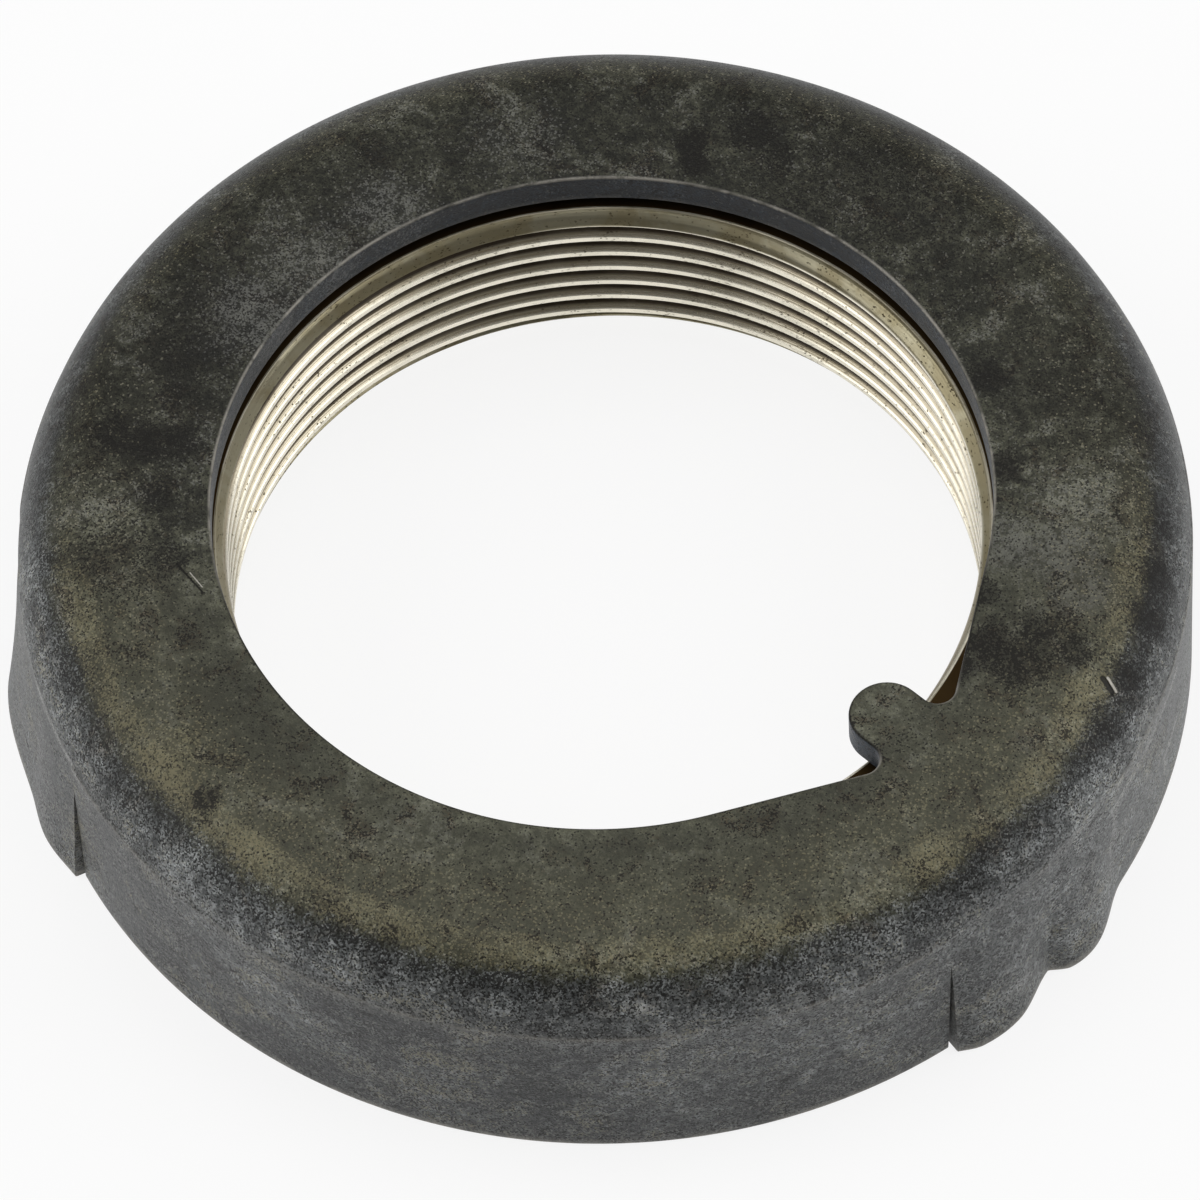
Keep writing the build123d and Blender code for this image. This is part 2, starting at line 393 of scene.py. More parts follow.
# Pale streaks along the band's ledge and the folds of the lobes, drawn like scrapes: painted highlights along
# those creases, given in the same way
HIGHLIGHT_STREAKS = (
    ((37.2, 19.7, 3.3), (39.0, 15.8, 3.4), 0.8), ((39.0, 15.8, 3.4), (40.5, 11.4, 2.8), 0.9),
    ((40.5, 11.4, 2.8), (41.3, 8.3, 2.2), 0.9), ((36.7, 20.6, -3.2), (37.8, 18.6, -3.3), 0.7),
    ((37.8, 18.6, -3.3), (38.6, 16.9, -3.6), 0.8), ((38.6, 17.1, -3.6), (38.4, 17.2, -5.5), 0.6),
    ((41.3, 9.0, 2.4), (41.7, 8.2, -2.0), 0.7), ((41.7, 8.2, -2.0), (42.1, 7.6, -6.0), 0.6),
    ((-22.0, -35.9, 4.9), (-14.0, -39.7, 4.9), 0.6), ((6.0, 41.7, 3.0), (12.0, 40.4, 3.2), 0.7),
)
# Chalk is drawn out along the skirt, to this many times its height
CHALK_SPREAD = 2.2


def near_marks(w, position, marks, blur, solid=0.3, gone=1.2, raggedness=1.3):
    """How thick the marks lie at a point: in full within solid of a mark's radius, and none past gone.

    The blur moves the edge of a mark in and out."""
    total = 0.0
    for place, radius, thickness in marks:
        radius *= MM
        away = blur * (raggedness * radius) + w.between("DISTANCE", position, Vector(place) * MM, "Value")
        total = w.larger(total, w.ramp(away, solid * radius, gone * radius, thickness, 0.0))
    return total


def near_lines(w, position, lines, core=0.4):
    """1 on any of the lines, each given by its two ends and its width, of which core is solid."""
    total = 0.0
    for start, end, width in lines:
        start = Vector(start) * MM
        line = Vector(end) * MM - start
        along = line.normalized()
        from_start = w.between("SUBTRACT", position, start)
        travelled = w.between("DOT_PRODUCT", from_start, along, "Value")
        held = w.smaller(w.larger(travelled, 0.0), line.length)
        nearest = w.out("ShaderNodeVectorMath", {0: along, "Scale": held}, operation="SCALE")
        away = w.between("DISTANCE", from_start, nearest, "Value")
        total = w.larger(total, w.ramp(away, core * width * MM, width * MM, 1.0, 0.0))
    return total


def picked(w, draw, portion, below=-0.03, above=0.05):
    """1 on the portion of the grains whose draw lies below it, and 0 on the others, with a soft limit."""
    return w.ramp(portion - draw, below, above)


def phosphate_material(finishes, sizes):
    """Black phosphate: olive on the face, clotted on the bend, greyer and chalky on the skirt."""
    material, w, shader = new_material("black_phosphate")
    at = Round(w)
    top = SHELL_HIGH.z
    ledge = top - sizes.band_drop
    bare, pierced, inside = (
        w.out("ShaderNodeAttribute", key="Fac", attribute_name=name) for name in ("bare", "pierced", "inside")
    )
    outside = 1.0 - inside

    # Each grain of the finish has three draws of its own: how light it is, how black and how pale
    light, black, pale, off_middle = w.grains(at.position, 8200.0)
    coarse = w.noise(at.position, 1300.0, 3.0, 0.7, 0.15)
    patch = w.noise(at.position, 180.0, 4.0, 0.7, 0.7)
    cloud = w.noise(at.position, 45.0, 2.0, 0.55, 0.6)
    cluster = w.noise(at.position, 300.0, 3.0, 0.6, 1.2)
    # These two are squeezed in height, so that they run round the skirt as the drawing marks do
    drawn = w.noise(w.vector(at.x, at.y, at.height * 3.4), 170.0, 4.0, 0.65, 0.4)
    scraped = w.noise(w.vector(at.x, at.y, at.height * 9.0), 640.0, 2.0, 0.6, 0.1)

    # How far down the bend a point lies, 0 on the face and 1 on the skirt, broken up by the grains
    past_face = at.radius - (sizes.radius - sizes.shoulder)
    over_skirt = w.larger(at.height - (top - sizes.shoulder), 0.0)
    bend = w.math("DIVIDE", w.math("ARCTAN2", past_face, over_skirt), pi / 2, clamp=True)
    before_bend = (drawn - 0.5) * 0.2 + bend
    for uneven, reach in ((drawn, 0.26), (coarse, 0.26), (light, 0.12)):
        bend = (uneven - 0.5) * reach + bend
    tone = w.mix(w.ramp(bend, 0.35, 0.50), finishes.face_tone, finishes.bend_tone)
    on_skirt = w.ramp(bend, 0.50, 0.78)
    tone = w.mix(on_skirt, tone, finishes.skirt_tone)
    tone = w.mix(inside, tone, finishes.inside_tone)

    # Rust shows through in places
    rusty = w.ramp(cluster, 0.50, 0.68) * w.ramp(light, 0.2, 0.9) * w.ramp(on_skirt, 0.0, 1.0, 0.75, 0.15)
    tone = w.mix(rusty, tone, finishes.rust_tone)

    # How light it is: uneven grains, calmer on the face at the front, and painted shade that makes it darker at
    # the back and lighter towards the front, as the light falls
    front = w.ramp(at.x - at.y, -46 * MM, 40 * MM)
    level = (
        w.ramp(light, 0.0, 1.0, 0.58, 1.42, smooth=False) * w.ramp(coarse, 0.36, 0.64, 0.62, 1.40)
        * w.ramp(cloud, 0.36, 0.64, 0.80, 1.22) * w.ramp(patch, 0.36, 0.64, 0.66, 1.38)
    )
    calm = w.ramp(front, 0.50, 0.85) * w.ramp(bend, 0.10, 0.36, 1.0, 0.0)
    level = (level - 1.0) * w.ramp(calm, 0.0, 1.0, 1.1, 0.55) + 1.0
    # Painted shade: darker at the back, lighter towards the front
    level = level * w.ramp(front, 0.15, 0.85, 0.53, 1.03)
    # Worn paler beside the hole, and painted light on the bend and the skirt at the two sides, where the side
    # softboxes light them
    leftward = (at.x + at.y) * -sqrt(0.5)
    above_band = w.ramp(at.height, ledge - 0.6 * MM, ledge + 0.6 * MM)
    by_hole = w.ramp(at.radius, 28.0 * MM, 29.8 * MM, 0.30, 0.0) * w.ramp(front, 0.5, 0.8)
    painted_light_left = w.ramp(leftward, 8 * MM, 26 * MM, 0.0, 0.42) * w.ramp(bend, 0.36, 0.48) * above_band
    painted_light_right = w.ramp(leftward, -34 * MM, -18 * MM, 0.34, 0.0) * w.ramp(bend, 0.52, 0.66)
    level = level * ((by_hole + painted_light_left + painted_light_right) * outside + 1.0)
    tone = w.mix(pierced, tone, finishes.wall_tone)
    tone = w.mix(1.0, tone, w.vector(level, level, level), "MULTIPLY")

    # Pale grains: frost in places on the face, and a painted highlight of gilt grains where the bend starts,
    # mostly at the front
    ragged = coarse * 0.7 + (patch * 0.8 - 0.75)
    frost = w.larger(near_marks(w, at.position, PALE_MARKS, ragged), w.ramp(patch, 0.50, 0.70, 0.0, 0.8))
    in_clumps = w.ramp(coarse, 0.38, 0.60, 0.4, 1.4) * outside
    frosted = picked(w, pale, (frost * 0.5 + 0.05) * in_clumps) * w.ramp(calm, 0.0, 1.0, 0.15, 0.06)
    tone = w.mix(frost * in_clumps * 0.06 + frosted, tone, finishes.chalk_and_highlight_tone)
    # Painted highlight: a gilt ridge and sheen where the bend starts, mostly at the front
    highlight_ridge = (
        w.ramp(before_bend, 0.05, 0.20) * w.ramp(before_bend, 0.31, 0.44, 1.0, 0.0)
        * w.ramp(front, 0.50, 0.75, 0.2, 1.0) * w.ramp(drawn, 0.36, 0.60, 0.45, 1.0)
    )
    sheen = w.ramp(at.radius, 29.5 * MM, 35 * MM) * w.ramp(before_bend, 0.05, 0.30, 0.28, 0.0) * front
    painted_highlight = near_marks(w, at.position, HIGHLIGHT_MARKS, ragged) * 0.8 + w.larger(highlight_ridge, sheen)
    painted_highlight = painted_highlight * outside
    tone = w.mix(picked(w, pale, painted_highlight * 0.5) * 0.17 + painted_highlight * 0.09, tone, finishes.gilt_highlight_and_dust_tone)

    # Dust and chalk on the skirt, a painted highlight in a strip under the ledge, the rim's edge rubbed paler, and
    # painted highlights in streaks along the creases
    dusty = w.larger(w.ramp(drawn, 0.46, 0.70) * 0.6, w.ramp(scraped, 0.58, 0.70, 0.0, 0.8))
    dusty = picked(w, pale, dusty * on_skirt + 0.05) * on_skirt * 0.28
    dust_tone = w.mix(w.ramp(patch, 0.44, 0.60), finishes.chalk_and_highlight_tone, finishes.gilt_highlight_and_dust_tone)
    tone = w.mix(dusty * outside, tone, dust_tone)
    ledge_highlight_and_rim_wear = w.ramp(at.height, ledge - 2.0 * MM, ledge - 0.8 * MM) * (1.0 - above_band)
    ledge_highlight_and_rim_wear = ledge_highlight_and_rim_wear + w.ramp(at.height, SHELL_LOW.z + 0.4 * MM, SHELL_LOW.z + 1.2 * MM, 0.6, 0.0)
    drawn_out = w.vector(at.x, at.y, at.height * CHALK_SPREAD)
    places = [((x, y, CHALK_SPREAD * z), radius, thickness) for (x, y, z), radius, thickness in CHALK_AND_HIGHLIGHT_MARKS]
    chalk_and_highlight_smudge = near_marks(w, drawn_out, places, ragged) * w.ramp(coarse, 0.36, 0.6, 0.15, 0.75)
    highlight_streak = near_lines(w, at.position, HIGHLIGHT_STREAKS, 0.0) * w.ramp(coarse, 0.36, 0.6, 0.15, 0.7)
    for pale_share in (ledge_highlight_and_rim_wear * outside * w.ramp(drawn, 0.36, 0.6, 0.03, 0.13), chalk_and_highlight_smudge * outside, highlight_streak):
        tone = w.mix(pale_share, tone, finishes.chalk_and_highlight_tone)

    # Black grains: thick in the marks and on the bend, and thin elsewhere
    clotted = near_marks(w, at.position, DARK_MARKS, ragged)
    tone = w.mix(clotted * 0.5, tone, finishes.fleck_tone)
    on_bend = (
        w.ramp(bend, 0.36, 0.47) * w.ramp(bend, 0.50, 0.66, 1.0, 0.3) * w.ramp(drawn, 0.36, 0.58, 0.5, 1.0)
        * w.ramp(front, 0.50, 0.75, 0.4, 1.0)
    )
    crowd = w.larger(w.larger(clotted, w.ramp(cluster, 0.52, 0.70, 0.0, 0.7)), on_bend * 0.75)
    crowd = crowd * 0.58 + w.ramp(calm, 0.0, 1.0, 0.14, 0.09)
    crowd = crowd * w.ramp(coarse, 0.38, 0.60, 0.45, 1.4) * outside
    tone = w.mix(picked(w, black, crowd) * 0.86, tone, finishes.fleck_tone)

    # Bare steel on rubbed edges, a dark line along the hole's near edge, and the cuts with their burrs
    at_hole = bare * w.ramp(at.radius, 29.0 * MM, 30.5 * MM, 1.0, 0.0) * w.ramp(front, 0.55, 0.80)
    tone = w.mix(at_hole * 0.9, tone, finishes.fleck_tone)
    rubbed = (bare - at_hole) * w.ramp(cluster, 0.34, 0.60, 0.2, 0.85)
    rubbed = w.larger(rubbed, near_lines(w, at.position, BURRS))
    tone = w.mix(rubbed, tone, finishes.bare_tone)
    cut = near_lines(w, at.position, CUTS, 0.6)
    tone = w.mix(cut * 0.9, tone, finishes.fleck_tone)
    matt = w.ramp(patch * 0.5 + light * 0.15 + coarse * 0.35, 0.36, 0.64, 0.32, 0.54)
    height = coarse * 0.28 - off_middle * 0.22 + patch * 0.5 - cut * 0.8
    dress(w, shader, tone, rubbed * 0.5, matt, height, 0.14 * MM, 0.9)
    shader.inputs["Specular IOR Level"].default_value = 0.2
    return material


def thread_material(finishes, sizes):
    """Bright turned steel, straw tinted by oil, with dirt in the root and flecks torn out by the tool."""
    material, w, shader = new_material("turned_steel")
    at = Round(w)
    # Where a point lies across its groove, from 0 to 1, for the lines that the tool cut along it
    start = sizes.thread_start / (2 * pi)
    climbed = (at.height - NUT_LOW.z) / sizes.pitch
    phase = w.math("FRACT", climbed - at.angle / (2 * pi) + (start + 2))
    lines = w.noise(w.vector(at.x * 45.0, at.y * 45.0, phase * 34.0), 1.0, 3.0, 0.7)
    draw = w.grains(w.vector(at.x, at.y, at.height * 2.2), 6500.0)[0]
    stain = w.noise(at.position, 150.0, 4.0, 0.65, 0.6)
    root = BORE_RADIUS + sizes.depth
    depth_share = w.ramp(at.radius, BORE_RADIUS, root, smooth=False)
    in_bore = w.ramp(at.radius, root + 0.05 * sizes.depth, root + 0.15 * sizes.depth, 1.0, 0.0)
    past_thread = w.math("ABSOLUTE", at.height) - (NUT_HIGH.z - BORE_CHAMFER)
    at_mouth = w.ramp(past_thread, -0.1 * MM, 0.1 * MM) * in_bore
    on_thread = (1.0 - at_mouth) * in_bore

    straw = w.math("ADD", w.ramp(stain, 0.38, 0.64, 0.0, 0.22), at_mouth * 0.85, clamp=True)
    tone = w.mix(straw, finishes.steel_tone, finishes.straw_tone)
    # Oil browns the flanks, and the root is darkened where the tool left its corner: partly dirt, partly painted
    # shade of the groove
    film = w.ramp(depth_share, 0.02, 0.25) * w.ramp(lines, 0.35, 0.65, 0.40, 0.85) * on_thread
    film = w.larger(film, at_mouth * w.ramp(stain, 0.36, 0.6, 0.2, 0.5))
    tone = w.mix(film, tone, finishes.oil_tone)
    in_root = w.ramp(depth_share, 0.34, 0.66) * on_thread
    # The nut's face in the gap under the shell is painted nearly black, partly grease and dirt, partly painted
    # shade under the shell's plate, and the open face keeps little of it
    gap_dirt_and_shade = (1.0 - in_bore) * w.ramp(at.height, NUT_LOW.z, NUT_HIGH.z - 3 * MM, 0.12, 1.0)
    dirt_and_shade = w.larger(in_root * w.ramp(stain, 0.3, 0.6, 0.85, 1.0), gap_dirt_and_shade)
    tone = w.mix(dirt_and_shade, tone, finishes.dirt_and_shade_tone)
    torn_share = w.ramp(stain, 0.46, 0.62) * 0.05 + (at_mouth * 0.02 + 0.012)
    fleck = picked(w, draw, torn_share) * in_bore
    tone = w.mix(fleck * 0.75, tone, finishes.dirt_and_shade_tone)
    # The lip of the mouth is painted bright along its corner, a painted highlight
    lip_highlight = w.ramp(at.height, NUT_HIGH.z - 0.20 * MM, NUT_HIGH.z - 0.08 * MM) * in_bore
    tone = w.mix(lip_highlight * w.ramp(lines, 0.4, 0.6, 0.0, 0.6), tone, finishes.steel_tone)
    metallic = 1.0 - w.larger(in_root * 0.85, film * 0.5)
    rough = at_mouth * 0.12 + w.ramp(lines, 0.3, 0.7, 0.20, 0.36)
    rough = w.larger(fleck, dirt_and_shade) * 0.35 + rough
    height = lines * 0.10 + stain * 0.5 - fleck * 0.4
    dress(w, shader, tone, metallic, rough, height, 0.10 * MM, 0.7)
    return material


def spring_material(finishes):
    """Dark tempered spring steel with a thin film of oil."""
    material, w, shader = new_material("spring_steel")
    at = Round(w)
    lines = w.noise(w.vector(at.radius * 3000.0, at.angle, at.height * 3000.0), 1.0, 3.0, 0.6)
    stain = w.noise(at.position, 260.0, 5.0, 0.6)
    stained = [0.55 * part for part in finishes.spring_tone]
    tone = w.mix(w.ramp(stain, 0.35, 0.65), finishes.spring_tone, stained)
    dress(w, shader, tone, 1.0, w.ramp(lines, 0.3, 0.7, 0.32, 0.48), lines, 0.01 * MM, 0.5)
    return material


def eased(value):
    """Smooth step from 0 to 1."""
    value = min(max(value, 0.0), 1.0)
    return value * value * (3 - 2 * value)


def turned_by(angle, other):
    """Degrees from one angle to another, the short way round."""
    return (angle - other + 180) % 360 - 180


def push_along(lobe, place):
    """Push at the rim where place, in degrees, lies along a lobe's smooth curve, and 0 outside it."""
    for i in range(len(lobe) - 1):
        (first, push), (last, next_push) = lobe[i], lobe[i + 1]
        part = (place - first) / (last - first)
        if 0 <= part <= 1:
            leaving = (next_push - push) if i == 0 else slope_at(lobe, i) * (last - first)
            arriving = 0.0 if i == len(lobe) - 2 else slope_at(lobe, i + 1) * (last - first)
            rest = 1 - part
            return (
                push * rest * rest * (1 + 2 * part) + leaving * part * rest * rest
                + next_push * part * part * (3 - 2 * part) - arriving * part * part * rest
            )
    return 0.0


def slope_at(lobe, i):
    """Slope of a lobe's curve at one of its inner points."""
    return (lobe[i + 1][1] - lobe[i - 1][1]) / (lobe[i + 1][0] - lobe[i - 1][0])


class HoleOutline:
    """Outline of the pierced hole, spread over the columns of the mesh."""

    def __init__(self, s):
        self.radius = s.hole_radius
        self.relief = s.relief
        self.half = s.tab_width / 2
        self.tip = s.hole_radius - s.tab_reach + self.half
        self.root = s.tab_root
        along = Vector((sin(self.relief), -cos(self.relief)))
        self.tangent = Vector((cos(self.relief), sin(self.relief))) * self.radius
        corner = self.tangent + along * ((self.tangent.y - self.half) / cos(self.relief))
        wedge = radians(90) - self.relief
        setback = self.root / tan(wedge / 2)
        self.root_middle = Vector((corner.x - setback, self.half + self.root))
        self.root_end = corner - along * setback
        # The columns up to these angles follow the tab, and then the fillet at its root
        self.tab_columns = radians(3.3)
        self.root_columns = radians(9.5)

    def at(self, angle):
        """The outline's point for a column, and the direction there into the plate."""
        side = -1 if angle < 0 else 1
        angle = abs(angle)
        if angle >= self.relief:
            inward = Vector((cos(angle), sin(angle)))
            point = inward * self.radius
        elif angle <= self.tab_columns:
            tip_length = self.half * pi / 2
            travelled = angle / self.tab_columns * (tip_length + self.root_middle.x - self.tip)
            if travelled < tip_length:
                turn = pi - travelled / self.half
                inward = -Vector((cos(turn), sin(turn)))
                point = Vector((self.tip, 0.0)) - inward * self.half
            else:
                inward = Vector((0.0, -1.0))
                point = Vector((self.tip + travelled - tip_length, self.half))
        elif angle <= self.root_columns:
            part = (angle - self.tab_columns) / (self.root_columns - self.tab_columns)
            turn = -pi / 2 + part * (pi / 2 + self.relief)
            inward = Vector((cos(turn), sin(turn)))
            point = self.root_middle + inward * self.root
        else:
            part = (angle - self.root_columns) / (self.relief - self.root_columns)
            inward = Vector((cos(self.relief), sin(self.relief)))
            point = self.root_end.lerp(self.tangent, part)
        return Vector((point.x, side * point.y)), Vector((inward.x, side * inward.y))


def spread(first, last, steps):
    """Even steps from one value to another, with both ends."""
    return [first + (last - first) * i / (steps - 1) for i in range(steps)]


def shell_rings(s):
    """The shell's section as rings, from the lower edge of the hole up, out, down and back inside.

    Each ring is whether it follows the hole, its radius or its distance from the hole's outline,
    its height and how far the finish is rubbed off there."""
    top = SHELL_HIGH.z
    rim = SHELL_LOW.z
    plate = top - s.sheet
    edge = s.pierced_round
    # Rings on the flat of the face and under it, between the hole and the bend
    before_bend, at_bend, under_face = 33.4 * MM, 34.6 * MM, 34.0 * MM
    hole = [(0.12 * MM, plate, 0.1), (0.0, plate + 0.12 * MM, 0.2)]
    hole += [(0.0, height, 0.0) for height in spread(plate + 0.6 * MM, top - edge - 0.3 * MM, 3)]
    for turn in spread(0, 90, 6):
        rise = radians(turn)
        hole.append((edge * (1 - cos(rise)), top - edge * (1 - sin(rise)), sin(2 * rise) ** 2))
    hole.append((edge + 0.4 * MM, top, 0.0))

    section = [(before_bend, top, 0.0), (at_bend, top, 0.0)]
    middle = s.radius - s.shoulder
    shoulder_end = asin(1 - s.band_drop / s.shoulder)
    for turn in spread(pi / 2, shoulder_end, 16):
        section.append((middle + s.shoulder * cos(turn), top - s.shoulder * (1 - sin(turn)), 0.0))
    ledge = top - s.band_drop
    step = s.radius - section[-1][0]
    section += [
        (s.radius - 0.85 * step, ledge - 0.12 * MM, 0.0), (s.radius - 0.4 * step, ledge - 0.24 * MM, 0.15),
        (s.radius - 0.08 * step, ledge - 0.38 * MM, 0.4), (s.radius, ledge - 0.55 * MM, 0.1),
    ]
    apex = rim + s.slit_height
    levels = spread(ledge - 1.1 * MM, apex, 5) + spread(apex, rim + 0.9 * MM, 17)[1:]
    section += [(s.radius, height, 0.0) for height in levels]
    inside = s.radius - s.sheet
    section += [
        (s.radius, rim + 0.45 * MM, 0.45), (s.radius, rim + 0.24 * MM, 0.8),
        (s.radius - 0.07 * MM, rim + 0.07 * MM, 1.0), (s.radius - 0.24 * MM, rim, 0.6),
        (s.radius - 0.6 * MM, rim, 0.25), (inside + 0.6 * MM, rim, 0.25),
        (inside + 0.16 * MM, rim, 0.5), (inside, rim + 0.16 * MM, 0.6),
    ]
    ring_low, ring_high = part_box("retaining_ring")
    groove_top = ring_high.z + s.groove_clearance
    groove = inside + s.groove_depth
    section += [
        (inside, ring_low.z, 0.3), (groove, ring_low.z, 0.0), (groove, groove_top, 0.0), (inside, groove_top, 0.3),
    ]
    levels = spread(groove_top, apex, 12)[1:] + spread(apex, top - s.shoulder, 4)[1:]
    section += [(inside, height, 0.0) for height in levels]
    bend = s.shoulder - s.sheet
    for turn in spread(0, pi / 2, 9)[1:]:
        section.append((middle + bend * cos(turn), top - s.shoulder + bend * sin(turn), 0.0))
    section.append((under_face, plate, 0.0))
    return [(True, *ring) for ring in hole] + [(False, *ring) for ring in section]


def shell_columns(s):
    """Angles of the mesh's columns, in degrees, each with the slit that it borders.

    The slit is given as 0 for none, 1 for its torn side, -1 for its straight side, and the way
    that the lobe runs from it."""
    # They stand closer at the tab. A slit clears those beside it for its two sides, a hair apart,
    # and for one more on its straight side.
    tab_half, tab_steps, hair, beside, cleared = 9.4, 95, 0.0001, 0.8, (-0.85, 0.2)
    columns = [(360 * i / s.columns - 180, 0, 0) for i in range(s.columns)]
    at_tab = spread(-tab_half, tab_half, tab_steps)
    columns += [(angle, 0, 0) for angle in at_tab if (angle * s.columns / 360) % 1 > 0.01]
    for station, lobe, torn in LOBES:
        if not torn:
            continue
        slit = station + lobe[0][0]
        way = 1 if lobe[-1][0] > lobe[0][0] else -1
        columns = [column for column in columns if not cleared[0] < way * turned_by(column[0], slit) < cleared[1]]
        columns += [(slit + way * hair, 1, way), (slit - way * hair, -1, way), (slit - way * beside, 0, 0)]
    return sorted(columns)


def skirt_push(angle, height, s):
    """How far the skirt is pushed out at an angle and a height, in metres, and how much of it is lobe."""
    rim = SHELL_LOW.z
    apex = rim + s.slit_height
    ledge = SHELL_HIGH.z - s.band_drop
    if height > ledge:
        return 0.0, 0.0
    free = min((ledge - height) / (ledge - rim), 1.0) ** 1.5
    tearing = max((apex - height) / s.slit_height, 0.0)
    largest = 0.0, 0.0
    for station, lobe, torn in LOBES:
        place = turned_by(angle, station)
        push = push_along(lobe, place)
        if push <= 0.0:
            continue
        fall = free
        if torn:
            from_slit = abs(place - lobe[0][0])
            fall = tearing + (free - tearing) * eased(from_slit / TEAR_REACH)
        largest = max(largest, (push * MM * min(fall, 1.0), eased(push / LOBE_FULL)))
    return largest


def is_inside(radius, height, s):
    """Whether a point of the section lies on the shell's inner side."""
    bend = Vector((max(radius - s.radius + s.shoulder, 0.0), max(height - SHELL_HIGH.z + s.shoulder, 0.0)))
    return bend.length < s.shoulder - 0.5 * s.sheet


def drawn_shell(s):
    """Mesh of the shell: its section carried round, with the hole, the lobes and the slits."""
    outline = HoleOutline(s)
    rings = shell_rings(s)
    columns = shell_columns(s)
    top = SHELL_HIGH.z
    apex = SHELL_LOW.z + s.slit_height
    ledge = top - s.band_drop
    step = s.shoulder - sqrt(s.shoulder ** 2 - (s.shoulder - s.band_drop) ** 2)
    in_skirt, near_ledge, slack, torn_rub = 39 * MM, 0.6 * MM, 1e-7, 0.12
    shape = bmesh.new()
    bare, pierced, hidden = (shape.verts.layers.float.new(name) for name in ("bare", "pierced", "inside"))
    grid = []
    for angle, border, way in columns:
        column = []
        for at_hole, radius, height, rubbed in rings:
            turn = radians(angle)
            pushed, on_lobe = 0.0, 0.0
            if at_hole:
                point, inward = outline.at(turn)
                x, y = point + inward * radius
            else:
                if radius > in_skirt:
                    pushed, on_lobe = skirt_push(angle, height, s)
                if border == -1:
                    pushed = 0.0
                    opening = max(apex - height, 0.0) / s.slit_height * s.slit_width
                    turn -= way * opening / s.radius
                # A lobe takes in the ledge over it, except where the two sides of a slit meet
                flattened = on_lobe * eased((height - ledge + LEDGE_FADE) / LEDGE_FADE)
                if border and height < apex + slack:
                    flattened = 0.0
                reach = radius + pushed - flattened * max(radius - s.radius + step, 0.0)
                x, y = reach * cos(turn), reach * sin(turn)
            vert = shape.verts.new((x, y, height))
            vert[bare] = rubbed * (1 - 0.9 * on_lobe) if abs(height - ledge) < near_ledge else rubbed
            if border and not at_hole and radius > in_skirt and height < apex:
                vert[bare] = max(rubbed, torn_rub)
            vert[pierced] = 1.0 if at_hole and top - height > 0.1 * MM else 0.0
            vert[hidden] = 1.0 if not at_hole and is_inside(radius, height, s) else 0.0
            column.append(vert)
        grid.append(column)

    torn_rings = [
        i for i, (at_hole, radius, height, _) in enumerate(rings)
        if not at_hole and radius > in_skirt and height <= apex + slack
    ]
    first, last = torn_rings[0], torn_rings[-1]
    for i, column in enumerate(grid):
        following = grid[(i + 1) % len(grid)]
        slit = columns[i][1] != 0 and columns[(i + 1) % len(grid)][1] != 0
        for j in range(len(rings)):
            k = (j + 1) % len(rings)
            if slit and first <= j < last:
                continue
            shape.faces.new((column[j], column[k], following[k], following[j]))
        if slit:
            shape.faces.new(column[first:last + 1])
            shape.faces.new(following[first:last + 1])
    bmesh.ops.remove_doubles(shape, verts=shape.verts, dist=1e-6)
    bmesh.ops.recalc_face_normals(shape, faces=shape.faces)
    mesh = bpy.data.meshes.new("drawn_shell")
    shape.to_mesh(mesh)
    shape.free()
    mesh.shade_smooth()
    mesh.set_sharp_from_angle(angle=radians(38))
    return mesh


def nut_section(sizes):
    """Outline of the nut outside its thread, as radius and height, with its corners broken."""
    outer, top, bottom = NUT_HIGH.x, NUT_HIGH.z, NUT_LOW.z
    major_top, major_bottom = ((BORE_RADIUS + sizes.depth, height) for height in (top, bottom))
    corners = [
        (outer - sizes.top_chamfer, top),
        (outer, top - sizes.top_chamfer),
        (outer, bottom + sizes.bottom_chamfer),
        (outer - sizes.bottom_chamfer, bottom),
    ]
    broken = broken_corners([major_top, *corners, major_bottom], sizes.edge_break)
    return [major_top, *broken, major_bottom]


def broken_corners(points, setback, steps=3):
    """Each inner corner of an open outline, as a short curve that starts and ends setback away."""
    curve = []
    for before, corner, after in zip(points, points[1:], points[2:]):
        corner = Vector(corner)
        start = corner + (Vector(before) - corner).normalized() * setback
        end = corner + (Vector(after) - corner).normalized() * setback
        for step in range(steps + 1):
            t = step / steps
            curve.append(tuple((1 - t) ** 2 * start + 2 * t * (1 - t) * corner + t ** 2 * end))
    return curve


def round_grid(w, columns, rows, start):
    """A grid whose columns stand round the axis, with its share of a turn, its row share and its angle."""
    grid = w.out(
        "GeometryNodeMeshGrid",
        {"Size X": 1.0, "Size Y": 1.0, "Vertices X": columns + 1.0, "Vertices Y": rows}, "Mesh",
    )
    x, y, _ = w.parts("ShaderNodeSeparateXYZ", {"Vector": w.out("GeometryNodeInputPosition")})
    turn = x + 0.5
    return grid, turn, y + 0.5, turn * (2 * pi) + start


def wrap(w, grid, radius, angle, height):
    """Moves a grid's points to a radius, an angle and a height."""
    place = w.vector(radius * w.math("COSINE", angle), radius * w.math("SINE", angle), height)
    return w.out("GeometryNodeSetPosition", {"Geometry": grid, "Position": place})


